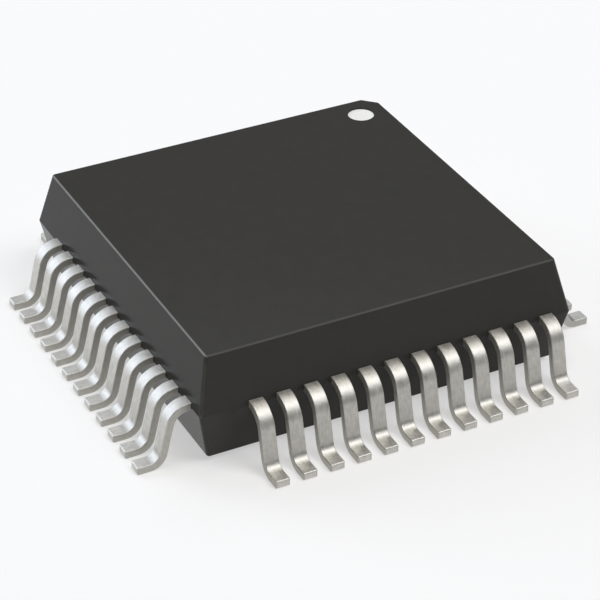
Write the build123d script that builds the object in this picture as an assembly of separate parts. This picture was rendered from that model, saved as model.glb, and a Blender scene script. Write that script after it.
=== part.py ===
from build123d import *
from math import atan2, cos, degrees, hypot, radians, sin, sqrt, tan
import os

# A digital-to-analog converter in a moulded, 48-lead quad flat package.
# Millimetres. The origin is the centre of the plane that the lead feet stand on, +Z is up,
# and lead 1 is next to the chamfered corner at -X, +Y. The leads count anticlockwise from there.

# Moulded body, which is widest at the parting line, where the two halves of the mould met
BODY_WIDTH = 7.0
UPPER_HEIGHT = 1.0  # parting line to top face
LOWER_HEIGHT = 0.98  # parting line to bottom face
UPPER_DRAFT = 13.0  # degrees from upright
LOWER_DRAFT = 12.0
STANDOFF = 0.08  # seating plane to bottom face
CORNER_CHAMFER = 0.38  # legs of the lead 1 chamfer, on the parting line
CORNER_ROUND = 0.06  # upright edges
RIM_ROUND = 0.04  # edges of the top and bottom faces

# Round mark beside lead 1: a recess with a thin fill
MARK_DIAMETER = 0.5
MARK_DEPTH = 0.06
MARK_FROM_SIDE = 0.75  # from each parting line beside it to the mark's centre
MARK_FILL = 0.035

# Round marks that the ejector pins of the mould leave in the bottom face
EJECTOR_DIAMETER = 0.9
EJECTOR_DEPTH = 0.03
EJECTOR_FROM_SIDE = 1.25

# Leads, stamped from one strip and formed into gull wings
LEADS_PER_SIDE = 12
EMPTY_PLACES = 1  # places left without a lead before the first lead of each side
PITCH = 0.5
LEAD_WIDTH = 0.26
LEAD_THICKNESS = 0.14
LEAD_SPAN = 8.95  # tip to tip across the package
SHOULDER_LENGTH = 0.306  # parting line to the corner where the shoulder would meet the leg
FOOT_LENGTH = 0.43  # corner where the leg would meet the foot, to the tip: the leg leans to fit between
SHOULDER_BEND = 0.36  # bend radii at the middle of the strip's thickness
ANKLE_BEND = 0.2
LEAST_STRAIGHT = 0.02  # straight metal left at either end of a bend

# Fingers, the tapered part of each lead inside the body
FINGER_NECK = 0.35  # straight length inside the body before the finger turns inwards
FINGER_TIP_WIDTH = 0.13
FINGER_TIP_PITCH = 0.26
FINGER_GAP = 0.3  # from the edge of the die paddle to the finger tips

# Die paddle and its corner tie bars
PADDLE_WIDTH = 3.1
PADDLE_THICKNESS = 0.13
PADDLE_DOWNSET = 0.25
TIE_BAR_WIDTH = 0.12
TIE_BAR_ROOT = 0.3  # length of the bar on the paddle's side of the finger tips
TIE_BAR_END = 0.2  # length of the bar past the bends of the fingers beside it
TIE_BAR_FLAT = 0.4  # level length before the bar climbs to the plane of the leads
TIE_BAR_CLIMB = 45.0  # degrees

# Chip, its adhesive and its bond wires
DIE_WIDTH = 2.5
DIE_THICKNESS = 0.3
ATTACH_THICKNESS = 0.025
PAD_PITCH = 0.18
PAD_FROM_EDGE = 0.08
WIRE_THICKNESS = 0.03
WIRE_LOOP = 0.13  # top of the loop above the chip
WIRE_FOOT = 0.09  # length of the bond on the finger
WIRE_NECK = 0.06  # height of the upright stretch above the chip
WIRE_CREST = 0.25  # place of the top of the loop, as a share of the run
FINGER_BOND_INSET = 0.08  # finger tip to the middle of the wire's foot

parting = STANDOFF + LOWER_HEIGHT
top_face = parting + UPPER_HEIGHT
side = BODY_WIDTH / 2
finger_top = parting + LEAD_THICKNESS / 2
paddle_bottom = parting - PADDLE_DOWNSET - PADDLE_THICKNESS / 2
die_bottom = paddle_bottom + PADDLE_THICKNESS + ATTACH_THICKNESS
die_top = die_bottom + DIE_THICKNESS
finger_tip = PADDLE_WIDTH / 2 + FINGER_GAP


def body_outline(inset, level):
    """Square with the lead 1 corner cut off, drawn in from the parting line by the draft."""
    edge = side - inset
    chamfer = CORNER_CHAMFER - (2 - sqrt(2)) * inset
    corners = [(-edge + chamfer, edge), (-edge, edge - chamfer), (-edge, -edge), (edge, -edge), (edge, edge)]
    outline = make_face(Polyline(*corners, close=True))
    return Pos(0, 0, level) * fillet(outline.vertices(), CORNER_ROUND)


def half_body(height, draft, level):
    """One side of the parting line, drawn in towards its flat face, whose rim is rounded."""
    inset = height * tan(radians(draft))
    half = loft([body_outline(0, parting), body_outline(inset, level)], ruled=True)
    rim = half.edges().group_by(Axis.Z)[0 if level < parting else -1]
    return fillet(rim, RIM_ROUND)


def blank_body():
    """The moulding before anything is let into it."""
    upper = half_body(UPPER_HEIGHT, UPPER_DRAFT, top_face)
    lower = half_body(LOWER_HEIGHT, LOWER_DRAFT, STANDOFF)
    return upper + lower


def mark_place():
    """Centre of the lead 1 mark on the top face."""
    return Pos(-side + MARK_FROM_SIDE, side - MARK_FROM_SIDE, top_face)


def mark_disc(bottom, height):
    """Round slice of the mark's place, from a depth below the top face."""
    return mark_place() * Pos(0, 0, -bottom) * extrude(Circle(MARK_DIAMETER / 2), height)


def finger_bend(place):
    """Distance from the middle of the package at which a finger turns inwards: sooner near a corner."""
    return max(side - FINGER_NECK, lead_offset(place) + LEAST_STRAIGHT)


def finger_outline(place):
    """Plan of one finger, straight in from the body's edge and then tapering to its tip."""
    root = lead_offset(place)
    bend = finger_bend(place)
    tip = tip_offset(place)
    wide = LEAD_WIDTH / 2
    narrow = FINGER_TIP_WIDTH / 2
    right = [(side, root - wide), (bend, root - wide), (finger_tip, tip - narrow)]
    left = [(finger_tip, tip + narrow), (bend, root + wide), (side, root + wide)]
    return make_face(Polyline(*right, *left, close=True))


def lead_offset(place):
    """Distance of one lead from the middle of its side: the row starts after the empty places."""
    last_place = LEADS_PER_SIDE - 1 + EMPTY_PLACES
    return (place + EMPTY_PLACES - last_place / 2) * PITCH


def tip_offset(place):
    """Distance of one finger tip from the middle of its side."""
    return (place - (LEADS_PER_SIDE - 1) / 2) * FINGER_TIP_PITCH


def strip_edge(shift):
    """Side view of the gull wing's line, moved square to the strip by shift: its middle, skin or sole."""
    drop = parting - LEAD_THICKNESS / 2
    lean_run = LEAD_SPAN / 2 - side - SHOULDER_LENGTH - FOOT_LENGTH
    half_turn = tan(atan2(drop, lean_run) / 2)
    knee = side + SHOULDER_LENGTH + shift * half_turn
    upper = parting + shift
    lower = upper - drop
    points = [(side, upper), (knee, upper), (knee + lean_run, lower), (LEAD_SPAN / 2, lower)]
    shoulder_bend = min(SHOULDER_BEND, (SHOULDER_LENGTH - LEAST_STRAIGHT) / half_turn)
    ankle_bend = min(ANKLE_BEND, (FOOT_LENGTH - LEAST_STRAIGHT) / half_turn)
    return FilletPolyline(*points, radius=[shoulder_bend + shift, ankle_bend - shift])


def gull_wing():
    """The strip outside the body: shoulder, leaning leg and flat foot, bent round two radii."""
    skin = strip_edge(LEAD_THICKNESS / 2)
    sole = strip_edge(-LEAD_THICKNESS / 2)
    ends = [Line(skin @ 0, sole @ 0), Line(skin @ 1, sole @ 1)]
    return extrude(Plane.XZ * make_face([skin, sole, *ends]), LEAD_WIDTH / 2, both=True)


def lead(place):
    """One whole lead of the +X side."""
    finger = extrude(finger_outline(place), LEAD_THICKNESS / 2, both=True)
    return Pos(0, lead_offset(place), 0) * gull_wing() + Pos(0, 0, parting) * finger


def tie_bar():
    """Corner strip midway between the fingers of two sides, level at first, then climbing to their plane."""
    last = LEADS_PER_SIDE - 1
    inner = (finger_tip + tip_offset(last)) / 2
    outer_x = (finger_bend(last) - lead_offset(0)) / 2
    outer_y = (finger_bend(0) + lead_offset(last)) / 2
    heading = atan2(outer_y - inner, outer_x - inner)
    length = TIE_BAR_ROOT + hypot(outer_x - inner, outer_y - inner) + TIE_BAR_END
    climbed = TIE_BAR_FLAT + PADDLE_DOWNSET / tan(radians(TIE_BAR_CLIMB))
    low = paddle_bottom
    high = low + PADDLE_DOWNSET
    under = [(0, low), (TIE_BAR_FLAT, low), (climbed, high), (length, high)]
    over = [(x, z + PADDLE_THICKNESS) for x, z in reversed(under)]
    strip = extrude(Plane.XZ * make_face(Polyline(*under, *over, close=True)), TIE_BAR_WIDTH / 2, both=True)
    root_x = inner - TIE_BAR_ROOT * cos(heading)
    root_y = inner - TIE_BAR_ROOT * sin(heading)
    return Pos(root_x, root_y, 0) * Rot(0, 0, degrees(heading)) * strip


def paddle():
    """Square plate with a tie bar from each corner, all one stamping."""
    plate = Pos(0, 0, paddle_bottom) * extrude(Rectangle(PADDLE_WIDTH, PADDLE_WIDTH), PADDLE_THICKNESS)
    for quarter in range(4):
        plate += Rot(0, 0, 90 * quarter) * tie_bar()
    return plate


def wire(place):
    """One bond wire of the +X side, upright from its bond on the chip, over a loop, down to its finger."""
    start = (DIE_WIDTH / 2 - PAD_FROM_EDGE, (place - (LEADS_PER_SIDE - 1) / 2) * PAD_PITCH)
    along_finger = FINGER_BOND_INSET / (finger_bend(place) - finger_tip)
    sideways = (lead_offset(place) - tip_offset(place)) * along_finger
    end = (finger_tip + FINGER_BOND_INSET, tip_offset(place) + sideways)
    run = hypot(end[0] - start[0], end[1] - start[1])
    heading = degrees(atan2(end[1] - start[1], end[0] - start[0]))
    drop = die_top - finger_top
    half = WIRE_THICKNESS / 2
    foot = WIRE_FOOT / 2
    crest = run * WIRE_CREST
    over = [(-half, 0), (-half, WIRE_NECK), (crest, WIRE_LOOP), (run + foot, -drop)]
    under = [(run - foot, -drop), (crest, WIRE_LOOP - WIRE_THICKNESS), (half, WIRE_NECK), (half, 0)]
    profile = make_face(Polyline(*over, *under, close=True))
    strip = extrude(Plane.XZ * profile, half, both=True)
    return Pos(start[0], start[1], die_top) * Rot(0, 0, heading) * strip


def around(make):
    """Repeats what make builds for each place of the +X side on all four sides, from lead 1 on."""
    made = [make(place) for place in range(LEADS_PER_SIDE)]
    return [Rot(0, 0, 180 + 90 * quarter) * shape for quarter in range(4) for shape in made]


leads = around(lead)
wires = around(wire)
die_paddle = paddle()
die_attach = Pos(0, 0, die_bottom - ATTACH_THICKNESS) * extrude(
    Rectangle(DIE_WIDTH, DIE_WIDTH), ATTACH_THICKNESS
)
silicon_die = Pos(0, 0, die_bottom) * extrude(Rectangle(DIE_WIDTH, DIE_WIDTH), DIE_THICKNESS)

ejector_place = side - EJECTOR_FROM_SIDE
ejector_marks = [
    Pos(x, x, STANDOFF - EJECTOR_DEPTH) * extrude(Circle(EJECTOR_DIAMETER / 2), 2 * EJECTOR_DEPTH)
    for x in (-ejector_place, ejector_place)
]
mould_body = blank_body() - [mark_disc(MARK_DEPTH, 2 * MARK_DEPTH), *ejector_marks]
mould_body -= [die_paddle, die_attach, silicon_die, *leads, *wires]

nodes = {
    "mould_body": mould_body,
    "pin_1_mark": mark_disc(MARK_DEPTH, MARK_FILL),
    "die_paddle": die_paddle,
    "die_attach": die_attach,
    "silicon_die": silicon_die,
    "bond_wires": Compound(children=wires),
}
for number, shape in enumerate(leads, start=1):
    nodes[f"lead_{number:02d}"] = shape

os.makedirs("parts", exist_ok=True)
for name, shape in nodes.items():
    export_step(shape, f"parts/{name}.step")
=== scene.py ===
import bpy
import numpy as np
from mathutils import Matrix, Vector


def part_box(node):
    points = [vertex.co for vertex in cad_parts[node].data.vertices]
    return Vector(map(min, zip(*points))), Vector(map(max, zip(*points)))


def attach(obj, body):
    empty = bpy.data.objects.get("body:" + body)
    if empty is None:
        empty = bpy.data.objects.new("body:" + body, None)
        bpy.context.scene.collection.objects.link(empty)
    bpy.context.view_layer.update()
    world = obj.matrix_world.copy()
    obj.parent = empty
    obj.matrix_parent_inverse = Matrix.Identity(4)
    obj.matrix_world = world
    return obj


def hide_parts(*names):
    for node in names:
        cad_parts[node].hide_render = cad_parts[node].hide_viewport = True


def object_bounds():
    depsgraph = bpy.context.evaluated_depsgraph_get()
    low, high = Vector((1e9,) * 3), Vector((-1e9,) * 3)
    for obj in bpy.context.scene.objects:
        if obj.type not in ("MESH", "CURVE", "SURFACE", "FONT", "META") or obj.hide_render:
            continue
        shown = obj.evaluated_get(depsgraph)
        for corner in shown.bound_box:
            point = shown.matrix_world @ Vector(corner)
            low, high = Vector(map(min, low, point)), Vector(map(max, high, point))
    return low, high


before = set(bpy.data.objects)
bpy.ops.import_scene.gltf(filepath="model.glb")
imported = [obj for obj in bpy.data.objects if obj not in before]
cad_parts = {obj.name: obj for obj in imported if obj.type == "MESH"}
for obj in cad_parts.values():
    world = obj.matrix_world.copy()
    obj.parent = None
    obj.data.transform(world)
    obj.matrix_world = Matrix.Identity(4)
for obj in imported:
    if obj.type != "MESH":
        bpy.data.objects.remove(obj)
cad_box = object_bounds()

# Leads: 48 of them, stamped from one strip of copper alloy and cut apart after the body is moulded.
# Each tapers inwards as a finger inside the body, leaves it at the parting line, and is pressed
# down and out over two bends into a gull wing. Matte tin plate gives them a soft, faintly brushed sheen.
MM = 0.001
SIDES = 4
LEADS_PER_SIDE = 12
EMPTY_PLACES = 1  # left without a lead before the first one of each side
PITCH = 0.5 * MM
LEAD_WIDTH = 0.26 * MM
LEAD_THICKNESS = 0.14 * MM
SHOULDER_LENGTH = 0.306 * MM
FOOT_LENGTH = 0.43 * MM
SHOULDER_BEND = 0.36 * MM
ANKLE_BEND = 0.25 * MM  # a little fuller than the solid's, as the pressed ankle shows
FINGER_NECK = 0.35 * MM
FINGER_LEAST = 0.02 * MM
FINGER_TIP_WIDTH = 0.13 * MM
FINGER_TIP_PITCH = 0.26 * MM
FINGER_TIP_DISTANCE = 1.85 * MM
LEAD_EDGE = 0.015 * MM  # rounding left on the stamped edges by the plating
TIP_EDGE = 0.028 * MM  # the cut tip is rolled over further by the trimming tool
TIP_SHARPENING = 0.85  # share of the long edges' rounding that is lost on the way round the tip
GRAIN_SHIFT = 5 * MM  # from one lead to the next, so that no two have the same grain
CORNER_STEPS = 6
BEND_STEPS = 18

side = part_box("mould_body")[1][0]
lead_tip = cad_box[1][0]
lead_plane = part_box("lead_01")[1][2] - LEAD_THICKNESS / 2


def lead_root(place):
    """Distance of a lead from the middle of its side: places are a pitch apart, the first ones empty."""
    return (place + EMPTY_PLACES - (LEADS_PER_SIDE - 1 + EMPTY_PLACES) / 2) * PITCH


def finger_tip_offset(place):
    """Distance of a finger tip from the middle of its side."""
    return (place - (LEADS_PER_SIDE - 1) / 2) * FINGER_TIP_PITCH


def lead_stations(place):
    """Stations along a lead: distance out, height, slope below level, sideways place and half width.

    Inside the body the line is level, and the sideways place and the width change in proportion to
    the distance out. Outside it, each bend is a circular arc tangent to the runs beside it, and the
    leg's slope is the angle whose tangent is its drop over its run.
    """
    drop = lead_plane - LEAD_THICKNESS / 2
    run = lead_tip - side - SHOULDER_LENGTH - FOOT_LENGTH
    slope = np.arctan2(drop, run)
    turn = np.linspace(0, slope, BEND_STEPS)
    knee = side + SHOULDER_LENGTH
    shoulder_start = knee - SHOULDER_BEND * np.tan(slope / 2)
    foot_start = knee + run + ANKLE_BEND * np.tan(slope / 2)
    back = turn[::-1]
    out = np.concatenate([
        shoulder_start + SHOULDER_BEND * np.sin(turn),
        foot_start - ANKLE_BEND * np.sin(back),
    ])
    height = np.concatenate([
        lead_plane - SHOULDER_BEND * (1 - np.cos(turn)),
        LEAD_THICKNESS / 2 + ANKLE_BEND * (1 - np.cos(back)),
    ])
    bend = max(side - FINGER_NECK, lead_root(place) + FINGER_LEAST)
    inside = np.array([FINGER_TIP_DISTANCE, (FINGER_TIP_DISTANCE + bend) / 2, bend, side])
    out = np.concatenate([inside, out, [lead_tip]])
    height = np.concatenate([np.full(len(inside), lead_plane), height, [LEAD_THICKNESS / 2]])
    angle = np.concatenate([np.zeros(len(inside)), turn, back, [0]])
    ends = [FINGER_TIP_DISTANCE, bend]
    sideways = np.interp(out, ends, [finger_tip_offset(place), lead_root(place)])
    half_width = np.interp(out, ends, [FINGER_TIP_WIDTH / 2, LEAD_WIDTH / 2])
    return out, height, angle, sideways, half_width


def round_ends(stations):
    """Repeats the first and last stations over a quarter circle: towards the end face the section shrinks
    on all sides by the tip's rounding times one minus the cosine of the turn."""
    arc = np.linspace(0, np.pi / 2, CORNER_STEPS)
    first = [np.repeat(s[:1], CORNER_STEPS) for s in stations]
    last = [np.repeat(s[-1:], CORNER_STEPS) for s in stations]
    first[0] = first[0] + TIP_EDGE * (1 - np.sin(arc[::-1]))
    last[0] = last[0] - TIP_EDGE * (1 - np.sin(arc))
    inset = TIP_EDGE * (1 - np.cos(arc))
    middle = np.zeros(len(stations[0]) - 2)
    joined = [np.concatenate([a, s[1:-1], b]) for a, s, b in zip(first, stations, last)]
    return joined, np.concatenate([inset[::-1], middle, inset]), np.concatenate([-arc[::-1], middle, arc])


def lead_surface(place):
    """Rounded rectangle carried along the lead: a point is the station's middle, plus the outline's width
    sideways and its height square to the strip. Returns points, normals and the distances that map it,
    along the strip and round the section with which it leaves the body."""
    (out, height, angle, sideways, half_width), inset, face_turn = round_ends(lead_stations(place))
    quarter = np.linspace(0, np.pi / 2, CORNER_STEPS)
    round_angle = (quarter + np.pi / 2 * np.arange(4)[:, None]).ravel()
    corner = round_angle.reshape(4, -1).mean(axis=1)
    sign_wide = np.repeat(np.sign(np.cos(corner)), CORNER_STEPS)
    sign_thick = np.repeat(np.sign(np.sin(corner)), CORNER_STEPS)
    edge = (LEAD_EDGE * (1 - TIP_SHARPENING * inset / TIP_EDGE))[:, None]
    core_wide = (half_width - inset)[:, None] - edge
    core_thick = (LEAD_THICKNESS / 2 - inset)[:, None] - edge
    wide = sign_wide * core_wide + edge * np.cos(round_angle)
    thick = sign_thick * core_thick + edge * np.sin(round_angle)
    sin_a, cos_a = np.sin(angle)[:, None], np.cos(angle)[:, None]
    points = np.stack([
        out[:, None] + thick * sin_a,
        sideways[:, None] + wide,
        height[:, None] + thick * cos_a,
    ], axis=-1)
    facing = np.cos(face_turn)[:, None]
    ahead = np.sin(face_turn)[:, None]
    normals = np.stack([
        facing * np.sin(round_angle) * sin_a + ahead * cos_a,
        facing * np.cos(round_angle),
        facing * np.sin(round_angle) * cos_a - ahead * sin_a,
    ], axis=-1)
    steps = np.hypot(np.diff(out), np.diff(height))
    along = np.concatenate([[0], np.cumsum(steps)])
    leaving_body = points[CORNER_STEPS + 2]
    loop = np.concatenate([leaving_body, leaving_body[:1]])
    around = np.concatenate([[0], np.cumsum(np.linalg.norm(np.diff(loop, axis=0), axis=1))])
    return points, normals, along, around


def turn_about_z(vectors, degrees):
    """Turns an array of vectors about the vertical axis."""
    c, s = np.cos(np.radians(degrees)), np.sin(np.radians(degrees))
    x, y, z = vectors[..., 0], vectors[..., 1], vectors[..., 2]
    return np.stack([c * x - s * y, s * x + c * y, z], axis=-1)


def carried_mesh(name, points, normals, along, around):
    """Mesh of a closed outline carried along a line: quads between neighbours, a flat face at each end.
    Its two narrow sides, after the second and the fourth corner, take the second material, darker as
    painted shade, and its map gives real distances round and along it."""
    rows, columns = points.shape[:2]
    row, column = np.meshgrid(np.arange(rows - 1), np.arange(columns), indexing="ij")
    beside = (column + 1) % columns
    quads = np.stack([row * columns + column, row * columns + beside,
                      (row + 1) * columns + beside, (row + 1) * columns + column], axis=-1).reshape(-1, 4)
    first_cap = list(range(columns - 1, -1, -1))
    last_cap = list(range((rows - 1) * columns, rows * columns))
    mesh = bpy.data.meshes.new(name)
    mesh.from_pydata(points.reshape(-1, 3).tolist(), [], quads.tolist() + [first_cap, last_cap])
    sheared_shaded_sides = np.isin(column.ravel(), [2 * CORNER_STEPS - 1, 4 * CORNER_STEPS - 1])
    mesh.polygons.foreach_set("material_index", np.append(sheared_shaded_sides, [False, False]).astype(np.int32))
    here, after = around[column], around[column + 1]
    across_map = np.stack([here, after, after, here], axis=-1)
    along_map = np.stack([along[row], along[row], along[row + 1], along[row + 1]], axis=-1)
    quad_map = np.stack([across_map, along_map], axis=-1).reshape(-1, 2)
    cap_map = np.stack([around[:-1], np.zeros(columns)], axis=-1)
    layer = mesh.uv_layers.new(name="strip")
    layer.data.foreach_set("uv", np.concatenate([quad_map, cap_map, cap_map]).ravel())
    mesh.shade_smooth()
    mesh.normals_split_custom_set_from_vertices(normals.reshape(-1, 3).tolist())
    return mesh


def linear(hex_colour):
    """Linear colour of an sRGB hex value."""
    parts = [int(hex_colour[i:i + 2], 16) / 255 for i in (1, 3, 5)]
    return [c / 12.92 if c <= 0.04045 else ((c + 0.055) / 1.055) ** 2.4 for c in parts] + [1.0]


def add_node(material, kind, inputs=(), **settings):
    """Adds a node, with its settings, and with each input set to a value or linked to a socket."""
    tree = material.node_tree
    node = tree.nodes.new(kind)
    for key, value in settings.items():
        setattr(node, key, value)
    for key, value in dict(inputs).items():
        if isinstance(value, bpy.types.NodeSocket):
            tree.links.new(value, node.inputs[key])
        else:
            node.inputs[key].default_value = value
    return node


def blank_material(name):
    """A material with its nodes cleared."""
    material = bpy.data.materials.new(name)
    material.use_nodes = True
    material.node_tree.nodes.clear()
    return material


# Matte tin plate, electroplated over rolled strip: a grey-white metal with a satin surface, in which
# the fine rolling lines of the strip below still show along the lead. The lines are really about
# 10 microns apart and are drawn at 34 so that they show. The sheared edges are rougher, and their
# darker colour is painted shade for the shade that falls between neighbouring leads.
TIN_LINE = 0.034 * MM
TIN_LINE_LENGTH = 0.2 * MM
TIN_CLOUD = 0.09 * MM  # size of the plating's blotches
TIN_HEIGHT = 0.003 * MM
TIN_TONES = (0.68, 1.32)  # sums of lines and clouds at which the plate is darkest and lightest
TIN_ROUGHNESS_SPREAD = 0.12  # lighter blotches are that much rougher


def tin_plate(name, dark, light, roughness):
    """Tin between two tones: lines along the strip plus clouds over it drive colour, gloss and relief."""
    tin = blank_material(name)
    strip_map = add_node(tin, "ShaderNodeUVMap", uv_map="strip").outputs["UV"]
    line_place = add_node(tin, "ShaderNodeMapping", {
        "Vector": strip_map, "Scale": (1 / TIN_LINE, 1 / TIN_LINE_LENGTH, 1)}).outputs["Vector"]
    lines = add_node(tin, "ShaderNodeTexNoise", {
        "Vector": line_place, "Scale": 1.0, "Detail": 2.0, "Roughness": 0.6}).outputs["Fac"]
    clouds = add_node(tin, "ShaderNodeTexNoise", {
        "Vector": add_node(tin, "ShaderNodeTexCoord").outputs["Object"],
        "Scale": 1 / TIN_CLOUD, "Detail": 3.0, "Roughness": 0.7}).outputs["Fac"]
    tone = add_node(tin, "ShaderNodeMath", {0: lines, 1: clouds}, operation="ADD").outputs[0]
    blend = add_node(tin, "ShaderNodeMapRange", {
        "Value": tone, "From Min": TIN_TONES[0], "From Max": TIN_TONES[1]}).outputs["Result"]
    colour = add_node(tin, "ShaderNodeMix", {
        "Factor": blend, "A": linear(dark), "B": linear(light)}, data_type="RGBA").outputs["Result"]
    gloss = add_node(tin, "ShaderNodeMapRange", {
        "Value": blend, "To Min": roughness,
        "To Max": roughness + TIN_ROUGHNESS_SPREAD}).outputs["Result"]
    bump = add_node(tin, "ShaderNodeBump", {
        "Height": tone, "Strength": 1.0, "Distance": TIN_HEIGHT}).outputs["Normal"]
    shader = add_node(tin, "ShaderNodeBsdfPrincipled", {
        "Base Color": colour, "Metallic": 1.0, "Roughness": gloss, "Normal": bump})
    add_node(tin, "ShaderNodeOutputMaterial", {"Surface": shader.outputs["BSDF"]})
    return tin


matte_tin = tin_plate("matte_tin_plate", "#bdbbb4", "#dbd9d3", 0.45)
# The narrow sides' tin is rougher, and darker as painted shade for the shade between the leads.
sheared_side_tin_painted_shade = tin_plate("tin_over_sheared_edge_painted_shade", "#b1afa8", "#c8c6c0", 0.52)

for quarter in range(SIDES):
    for place in range(LEADS_PER_SIDE):
        number = quarter * LEADS_PER_SIDE + place + 1
        points, normals, along, around = lead_surface(place)
        heading = 180 + 90 * quarter
        mesh = carried_mesh(f"tin_lead_{number:02d}", turn_about_z(points, heading),
                            turn_about_z(normals, heading), along + number * GRAIN_SHIFT, around)
        mesh.materials.append(matte_tin)
        mesh.materials.append(sheared_side_tin_painted_shade)
        piece = bpy.data.objects.new(mesh.name, mesh)
        bpy.context.scene.collection.objects.link(piece)
        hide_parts(f"lead_{number:02d}")
        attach(piece, "root")

# Die paddle with its tie bars: one stamping of the same strip as the leads, left as bare copper
# alloy because the moulding seals it in. Its corners carried the paddle in the strip until the trim.
bare_copper = blank_material("rolled_copper_alloy")
copper_place = add_node(bare_copper, "ShaderNodeTexCoord").outputs["Object"]
copper_lines = add_node(bare_copper, "ShaderNodeTexNoise", {
    "Vector": add_node(bare_copper, "ShaderNodeMapping", {
        "Vector": copper_place,
        "Scale": (1 / TIN_LINE, 1 / TIN_LINE_LENGTH, 1 / TIN_LINE)}).outputs["Vector"],
    "Scale": 1.0, "Detail": 3.0}).outputs["Fac"]
copper_colour = add_node(bare_copper, "ShaderNodeMix", {
    "Factor": copper_lines, "A": linear("#b87350"), "B": linear("#d39a78")}, data_type="RGBA")
copper_shader = add_node(bare_copper, "ShaderNodeBsdfPrincipled", {
    "Base Color": copper_colour.outputs["Result"], "Metallic": 1.0, "Roughness": 0.36,
    "Normal": add_node(bare_copper, "ShaderNodeBump", {
        "Height": copper_lines, "Strength": 1.0, "Distance": TIN_HEIGHT}).outputs["Normal"]})
add_node(bare_copper, "ShaderNodeOutputMaterial", {"Surface": copper_shader.outputs["BSDF"]})


def dress(node, material):
    """Gives a carried-over solid its material."""
    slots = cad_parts[node].data.materials
    slots.clear()
    slots.append(material)


dress("die_paddle", bare_copper)

# Die attach: a thin layer of epoxy adhesive, grey with silver flakes, cured under the chip. It was
# spread on the paddle as a paste and squeezed out flat when the chip was set on it.
FLAKE = 0.02 * MM
silver_adhesive = blank_material("silver_filled_epoxy")
flakes = add_node(silver_adhesive, "ShaderNodeTexVoronoi", {
    "Vector": add_node(silver_adhesive, "ShaderNodeTexCoord").outputs["Object"],
    "Scale": 1 / FLAKE}).outputs["Distance"]
flake_colour = add_node(silver_adhesive, "ShaderNodeMix", {
    "Factor": flakes, "A": linear("#c8c8c4"), "B": linear("#8c8c88")}, data_type="RGBA")
adhesive_shader = add_node(silver_adhesive, "ShaderNodeBsdfPrincipled", {
    "Base Color": flake_colour.outputs["Result"], "Metallic": 0.6, "Roughness": 0.5, "IOR": 1.5})
add_node(silver_adhesive, "ShaderNodeOutputMaterial", {"Surface": adhesive_shader.outputs["BSDF"]})
dress("die_attach", silver_adhesive)

# Chip: a sawn square of polished silicon, blue-grey and nearly mirror bright, with faint blocks of
# circuit cells on its face, drawn at 0.12 mm.
CELL = 0.12 * MM
polished_silicon = blank_material("polished_silicon")
cells = add_node(polished_silicon, "ShaderNodeTexVoronoi", {
    "Vector": add_node(polished_silicon, "ShaderNodeTexCoord").outputs["Object"],
    "Scale": 1 / CELL, "Randomness": 0.35}, distance="CHEBYCHEV").outputs["Distance"]
silicon_colour = add_node(polished_silicon, "ShaderNodeMix", {
    "Factor": cells, "A": linear("#5b6270"), "B": linear("#7a8090")}, data_type="RGBA")
silicon_shader = add_node(polished_silicon, "ShaderNodeBsdfPrincipled", {
    "Base Color": silicon_colour.outputs["Result"], "Metallic": 0.7, "Roughness": 0.12, "IOR": 3.5})
add_node(polished_silicon, "ShaderNodeOutputMaterial", {"Surface": silicon_shader.outputs["BSDF"]})
dress("silicon_die", polished_silicon)

# Bond wires: 48 gold wires of 25 microns, each with a ball bond on the chip and a flattened stitch
# on its finger. They stand in loops between the two and are held by the moulding poured over them.
WIRE_RADIUS = 0.0125 * MM
BALL_RADIUS = 0.034 * MM
BALL_HEIGHT = 0.022 * MM
BALL_RISE = (0.0, 0.15, 0.5, 0.85, 1.0)  # its rings' heights as shares of its height
BALL_SWELL = (0.75, 0.95, 1.0, 0.8, 0.42)  # and their radii as shares of its radius
STITCH_HALF_WIDTH = 0.03 * MM
STITCH_HALF_HEIGHT = 0.004 * MM
STITCH_START = 0.9  # share of the curve after which the wire flattens
WIRE_LOOP = 0.13 * MM
LOOP_PULL = (1.7, 1.1)  # heights of the curve's two inner control points, as shares of the loop
LOOP_REACH = 0.45  # place of the second of them, as a share of the run
PAD_PITCH = 0.18 * MM
PAD_FROM_EDGE = 0.08 * MM
FINGER_BOND_INSET = 0.08 * MM
WIRE_SIDES = 12
WIRE_STEPS = 28
GOLD_GRAIN = 0.01 * MM

chip_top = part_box("silicon_die")[1][2]
chip_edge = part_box("silicon_die")[1][0]


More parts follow.
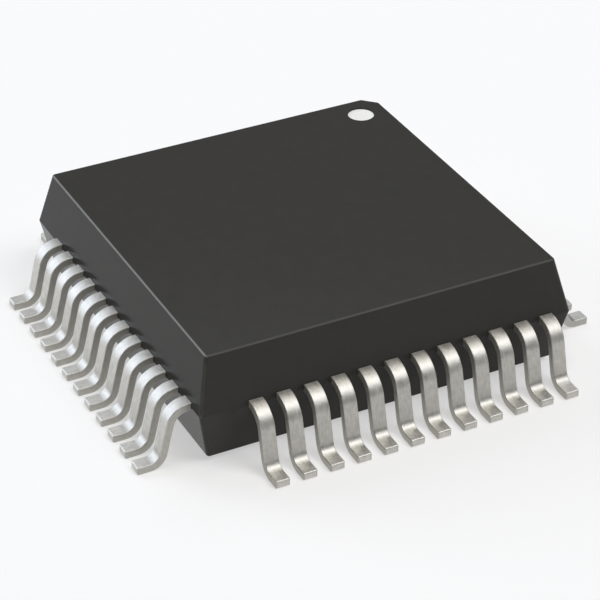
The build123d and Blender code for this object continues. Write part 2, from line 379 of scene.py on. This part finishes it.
def wire_surfaces():
    """All 48 wires as one array. The line is a cubic curve from straight up off the chip to a shallow
    landing on the finger. Its section is an ellipse: wide at the ball, then round, flat at the stitch."""
    place = np.arange(LEADS_PER_SIDE)
    start = np.stack([np.full(LEADS_PER_SIDE, chip_edge - PAD_FROM_EDGE),
                      (place - (LEADS_PER_SIDE - 1) / 2) * PAD_PITCH], axis=-1)
    bend = np.maximum(side - FINGER_NECK, lead_root(place) + FINGER_LEAST)
    share = FINGER_BOND_INSET / (bend - FINGER_TIP_DISTANCE)
    tips = finger_tip_offset(place)
    end = np.stack([np.full(LEADS_PER_SIDE, FINGER_TIP_DISTANCE + FINGER_BOND_INSET),
                    tips + (lead_root(place) - tips) * share], axis=-1)
    run = np.linalg.norm(end - start, axis=1)[:, None]
    ahead = (end - start) / run
    drop = chip_top - lead_plane - LEAD_THICKNESS / 2
    t = np.linspace(0, 1, WIRE_STEPS)
    weights = np.stack([(1 - t) ** 3, 3 * t * (1 - t) ** 2, 3 * t ** 2 * (1 - t), t ** 3])
    reach = run * (weights[2] * LOOP_REACH + weights[3])
    rise = BALL_HEIGHT * weights[0] + WIRE_LOOP * (LOOP_PULL[0] * weights[1] + LOOP_PULL[1] * weights[2])
    rise = rise + (STITCH_HALF_HEIGHT - drop) * weights[3] + 0 * run
    ball_rise = np.array(BALL_RISE) * BALL_HEIGHT
    ball_size = np.array(BALL_SWELL) * BALL_RADIUS
    balls = np.ones((LEADS_PER_SIDE, 1))
    reach = np.concatenate([balls * np.zeros(len(BALL_RISE)), reach], axis=1)
    rise = np.concatenate([balls * ball_rise, rise], axis=1)
    slope = np.arctan2(np.gradient(rise, axis=1), np.gradient(reach, axis=1))
    slope[:, :len(BALL_RISE) + 1] = np.pi / 2
    stops = [0, STITCH_START, 1]
    wide = np.interp(t, stops, [WIRE_RADIUS, WIRE_RADIUS, STITCH_HALF_WIDTH])
    thick = np.interp(t, stops, [WIRE_RADIUS, WIRE_RADIUS, STITCH_HALF_HEIGHT])
    wide = np.concatenate([ball_size, wide])
    thick = np.concatenate([ball_size, thick])
    around = np.linspace(0, 2 * np.pi, WIRE_SIDES, endpoint=False)
    offset_wide = wide[:, None] * np.cos(around)
    offset_thick = thick[:, None] * np.sin(around)
    level = reach[..., None] - np.sin(slope)[..., None] * offset_thick
    height = chip_top + rise[..., None] + np.cos(slope)[..., None] * offset_thick
    x = start[:, 0, None, None] + ahead[:, 0, None, None] * level - ahead[:, 1, None, None] * offset_wide
    y = start[:, 1, None, None] + ahead[:, 1, None, None] * level + ahead[:, 0, None, None] * offset_wide
    one_side = np.stack([x, y, height], axis=-1)
    return np.concatenate([turn_about_z(one_side, 90 * quarter) for quarter in range(SIDES)])


def tube_group_mesh(name, surfaces):
    """Mesh of several closed tubes: quads between neighbouring stations and a flat face at each end."""
    tubes, rows, columns = surfaces.shape[:3]
    tube, row, column = np.meshgrid(
        np.arange(tubes), np.arange(rows - 1), np.arange(columns), indexing="ij")
    base = tube * rows * columns
    beside = (column + 1) % columns
    quads = np.stack([base + row * columns + column, base + row * columns + beside,
                      base + (row + 1) * columns + beside, base + (row + 1) * columns + column], axis=-1)
    ring = np.arange(columns)
    starts = np.arange(tubes)[:, None] * rows * columns
    caps = np.concatenate([starts + ring[::-1], starts + (rows - 1) * columns + ring])
    mesh = bpy.data.meshes.new(name)
    mesh.from_pydata(surfaces.reshape(-1, 3).tolist(), [],
                     quads.reshape(-1, 4).tolist() + caps.tolist())
    mesh.shade_smooth()
    return mesh


drawn_gold = blank_material("drawn_gold")
gold_grain = add_node(drawn_gold, "ShaderNodeTexNoise", {
    "Vector": add_node(drawn_gold, "ShaderNodeTexCoord").outputs["Object"],
    "Scale": 1 / GOLD_GRAIN, "Detail": 2.0}).outputs["Fac"]
gold_shader = add_node(drawn_gold, "ShaderNodeBsdfPrincipled", {
    "Base Color": linear("#f2c65a"), "Metallic": 1.0,
    "Roughness": add_node(drawn_gold, "ShaderNodeMapRange", {
        "Value": gold_grain, "To Min": 0.14, "To Max": 0.24}).outputs["Result"]})
add_node(drawn_gold, "ShaderNodeOutputMaterial", {"Surface": gold_shader.outputs["BSDF"]})

wire_mesh = tube_group_mesh("gold_bond_wires", wire_surfaces())
wire_mesh.materials.append(drawn_gold)
bond_wires = bpy.data.objects.new(wire_mesh.name, wire_mesh)
bpy.context.scene.collection.objects.link(bond_wires)
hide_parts("bond_wires")
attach(bond_wires, "root")

# Body: black epoxy moulding compound, filled with fine silica and moulded in one shot round the lead
# frame. Its skin is smooth with very fine pits, and mirrors the leads softly. The filler shows as a
# faint lighter cloudiness. The rims are painted lighter, as a painted highlight for the light they catch.
PIT = 0.035 * MM
PIT_HEIGHT = 0.0007 * MM
FILLER_CLOUD = 0.35 * MM
SKIN_PITS = (0.3, 0.7)  # heights in the pits' noise at which the skin is smoothest and roughest
SKIN_ROUGHNESS = (0.11, 0.18)
SIDE_RISE = (0.26, 0.5)  # upward part of a normal just past the drafted sides' 0.22, and up the rim
TOP_RISE = (0.99, 0.9)  # the same just off the top face, and down the rim
RIM_HIGHLIGHT_SIDE = (-0.15, -0.45)  # part along Y at which the painted rim highlight starts to be stronger, and is strongest
RIM_HIGHLIGHT_ELSEWHERE = 0.3  # share of the strongest painted rim highlight that the other sides show

moulding = blank_material("epoxy_moulding_compound")
moulding_place = add_node(moulding, "ShaderNodeTexCoord").outputs
pits = add_node(moulding, "ShaderNodeTexNoise", {
    "Vector": moulding_place["Object"], "Scale": 1 / PIT,
    "Detail": 4.0, "Roughness": 0.65}).outputs["Fac"]
filler = add_node(moulding, "ShaderNodeTexNoise", {
    "Vector": moulding_place["Object"], "Scale": 1 / FILLER_CLOUD,
    "Detail": 5.0, "Roughness": 0.6}).outputs["Fac"]
shade = add_node(moulding, "ShaderNodeMath", {0: pits, 1: filler}, operation="ADD").outputs[0]
moulding_colour = add_node(moulding, "ShaderNodeMix", {
    "Factor": add_node(moulding, "ShaderNodeMath", {0: shade, 1: 0.5}, operation="MULTIPLY").outputs[0],
    "A": linear("#33322f"), "B": linear("#3f3e3b")}, data_type="RGBA").outputs["Result"]
# The rims are where the surface faces neither up, as the top does, nor out, as the drafted sides do.
facing = add_node(moulding, "ShaderNodeSeparateXYZ", {"Vector": moulding_place["Normal"]})
above_sides = add_node(moulding, "ShaderNodeMapRange", {
    "Value": facing.outputs["Z"],
    "From Min": SIDE_RISE[0], "From Max": SIDE_RISE[1]}).outputs["Result"]
below_top = add_node(moulding, "ShaderNodeMapRange", {
    "Value": facing.outputs["Z"],
    "From Min": TOP_RISE[0], "From Max": TOP_RISE[1]}).outputs["Result"]
on_rim = add_node(moulding, "ShaderNodeMath", {
    0: above_sides, 1: below_top}, operation="MULTIPLY").outputs[0]
# The rims get a painted highlight, strongest on the -Y side, where the rim catches the most light.
rim_highlight_side_share = add_node(moulding, "ShaderNodeMapRange", {
    "Value": facing.outputs["Y"], "From Min": RIM_HIGHLIGHT_SIDE[0], "From Max": RIM_HIGHLIGHT_SIDE[1],
    "To Min": RIM_HIGHLIGHT_ELSEWHERE, "To Max": 1.0}).outputs["Result"]
rim_highlight = add_node(moulding, "ShaderNodeMath", {0: on_rim, 1: rim_highlight_side_share}, operation="MULTIPLY").outputs[0]
# Painted highlight: the rim colour is mixed towards a light grey, standing in for the light the rounded
# rim catches.
colour_with_rim_highlight = add_node(moulding, "ShaderNodeMix", {
    "Factor": rim_highlight, "A": moulding_colour, "B": linear("#7a7975")}, data_type="RGBA").outputs["Result"]
moulding_roughness = add_node(moulding, "ShaderNodeMapRange", {
    "Value": pits, "From Min": SKIN_PITS[0], "From Max": SKIN_PITS[1],
    "To Min": SKIN_ROUGHNESS[0], "To Max": SKIN_ROUGHNESS[1]}).outputs["Result"]
moulding_shader = add_node(moulding, "ShaderNodeBsdfPrincipled", {
    "Base Color": colour_with_rim_highlight, "Roughness": moulding_roughness, "IOR": 1.2,
    "Normal": add_node(moulding, "ShaderNodeBump", {
        "Height": pits, "Strength": 1.0, "Distance": PIT_HEIGHT}).outputs["Normal"]})
add_node(moulding, "ShaderNodeOutputMaterial", {"Surface": moulding_shader.outputs["BSDF"]})
dress("mould_body", moulding)

# Lead 1 mark: a white fill set in the round recess at the chamfered corner. It dried slightly dished,
# with a rounded rim where it meets the recess wall.
MARK_DISH = 0.012 * MM
MARK_RIM = 0.008 * MM
MARK_STEPS = 96
MARK_RIM_STEPS = 7
MARK_RINGS = 24
MARK_MIDDLE = 0.02  # radius of the small flat in the middle, as a share of the mark's
PAINT_GRAIN = 0.03 * MM
PAINT_HEIGHT = 0.001 * MM

mark_low, mark_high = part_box("pin_1_mark")


def mark_surface():
    """Lathe surface: up the wall, over a quarter-round rim, then a dish whose depth falls with the square
    of the distance from the middle. Returns rings of points from the wall's foot to near the middle."""
    radius = (mark_high[0] - mark_low[0]) / 2
    arc = np.linspace(0, np.pi / 2, MARK_RIM_STEPS)
    rim_out = radius - MARK_RIM * (1 - np.cos(arc))
    rim_up = mark_high[2] - MARK_RIM * (1 - np.sin(arc))
    out = np.linspace(radius - MARK_RIM, radius * MARK_MIDDLE, MARK_RINGS)[1:]
    up = mark_high[2] - MARK_DISH * (1 - (out / (radius - MARK_RIM)) ** 2)
    ring_out = np.concatenate([[radius], rim_out, out])[:, None]
    ring_up = np.concatenate([[mark_low[2]], rim_up, up])[:, None]
    turn = np.linspace(0, 2 * np.pi, MARK_STEPS, endpoint=False)
    middle = (np.array(mark_low) + np.array(mark_high)) / 2
    return np.stack([middle[0] + ring_out * np.cos(turn), middle[1] + ring_out * np.sin(turn),
                     ring_up + 0 * turn], axis=-1)


mark_paint = blank_material("white_marking_fill")
paint_grain = add_node(mark_paint, "ShaderNodeTexNoise", {
    "Vector": add_node(mark_paint, "ShaderNodeTexCoord").outputs["Object"],
    "Scale": 1 / PAINT_GRAIN, "Detail": 3.0}).outputs["Fac"]
paint_colour = add_node(mark_paint, "ShaderNodeMix", {
    "Factor": paint_grain, "A": linear("#f1f1ed"), "B": linear("#fefef8")}, data_type="RGBA")
fill_shader = add_node(mark_paint, "ShaderNodeBsdfPrincipled", {
    "Base Color": paint_colour.outputs["Result"], "Roughness": 0.55, "IOR": 1.5,
    "Normal": add_node(mark_paint, "ShaderNodeBump", {
        "Height": paint_grain, "Strength": 1.0, "Distance": PAINT_HEIGHT}).outputs["Normal"]})
add_node(mark_paint, "ShaderNodeOutputMaterial", {"Surface": fill_shader.outputs["BSDF"]})

mark_mesh = tube_group_mesh("white_lead_1_mark", mark_surface()[None])
mark_mesh.materials.append(mark_paint)
mark = bpy.data.objects.new(mark_mesh.name, mark_mesh)
bpy.context.scene.collection.objects.link(mark)
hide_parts("pin_1_mark")
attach(mark, "root")

# Table and light: a sheet of white paper on a light table that glows through it, one soft box high on
# the right, one overhead, two behind, and a wall of three cooler ones on the left.
PAPER_HALF = 0.6
PAPER_BELOW = 0.001 * MM  # just clear of the soles, so the two flat faces never lie in one plane
PAPER_GLOW = 0.5
ROOM_GLOW = 0.03
BOX_DISTANCE = 0.4
BOX_SIZE = 0.2

paper = bpy.data.meshes.new("white_paper")
paper.from_pydata([(-PAPER_HALF, -PAPER_HALF, -PAPER_BELOW), (PAPER_HALF, -PAPER_HALF, -PAPER_BELOW),
                   (PAPER_HALF, PAPER_HALF, -PAPER_BELOW), (-PAPER_HALF, PAPER_HALF, -PAPER_BELOW)],
                  [], [(0, 1, 2, 3)])
white_paper = blank_material("white_paper")
paper_shader = add_node(white_paper, "ShaderNodeBsdfPrincipled", {
    "Base Color": linear("#bababa"), "Roughness": 0.9, "Specular IOR Level": 0.2,
    "Emission Color": linear("#ffffff"), "Emission Strength": PAPER_GLOW})
add_node(white_paper, "ShaderNodeOutputMaterial", {"Surface": paper_shader.outputs["BSDF"]})
paper.materials.append(white_paper)
floor = bpy.data.objects.new("white_paper", paper)
bpy.context.scene.collection.objects.link(floor)


def soft_box(name, azimuth, elevation, radiance, colour):
    """Square area light aimed at the part. Its power is its radiance times pi times its area."""
    light = bpy.data.lights.new(name, "AREA")
    light.shape = "SQUARE"
    light.size = BOX_SIZE
    light.energy = radiance * np.pi * BOX_SIZE ** 2
    light.color = linear(colour)[:3]
    box = bpy.data.objects.new(name, light)
    az, el = np.radians(azimuth), np.radians(elevation)
    box.location = (BOX_DISTANCE * np.cos(az) * np.cos(el), BOX_DISTANCE * np.sin(az) * np.cos(el),
                    BOX_DISTANCE * np.sin(el))
    box.rotation_euler = (np.pi / 2 - el, 0, az + np.pi / 2)
    bpy.context.scene.collection.objects.link(box)


soft_box("soft_box_right", 43, 56, 5.6, "#fcfdff")
soft_box("soft_box_top", 0, 90, 3.8, "#fffaf2")
soft_box("soft_box_back", 145, 50, 1.75, "#f0f4ff")
soft_box("soft_box_back_low", 160, 38, 0.27, "#ffffff")
soft_box("soft_box_left_high", 196, 38, 2.0, "#e9f1ff")
soft_box("soft_box_left", 210, 28, 1.7, "#e9f1ff")
soft_box("soft_box_left_low", 219, 14, 3.45, "#e9f1ff")

room = bpy.data.worlds.new("dim_room")
room.use_nodes = True
room_glow = room.node_tree.nodes["Background"].inputs
room_glow["Color"].default_value = linear("#ffffff")
room_glow["Strength"].default_value = ROOM_GLOW
bpy.context.scene.world = room
bpy.context.scene.view_settings.view_transform = "Standard"

# Camera: where the photograph was taken from, worked out from the body's corners and the lead feet.
CAMERA_PLACE = (32.337 * MM, -16.333 * MM, 23.653 * MM)
CAMERA_HEADING = 63.10  # degrees, 0 looks along +Y and 90 along -X
CAMERA_DIP = 32.81  # degrees below level
CAMERA_SENSOR = 36.0  # millimetres wide
CAMERA_LENS = 144.8  # millimetres
CAMERA_NEAR = MM
CAMERA_FAR = 10

lens = bpy.data.cameras.new("camera")
lens.sensor_width = CAMERA_SENSOR
lens.lens = CAMERA_LENS
lens.clip_start = CAMERA_NEAR
lens.clip_end = CAMERA_FAR
camera = bpy.data.objects.new("camera", lens)
camera.location = CAMERA_PLACE
camera.rotation_euler = (np.radians(90 - CAMERA_DIP), 0, np.radians(CAMERA_HEADING))
bpy.context.scene.collection.objects.link(camera)
bpy.context.scene.camera = camera
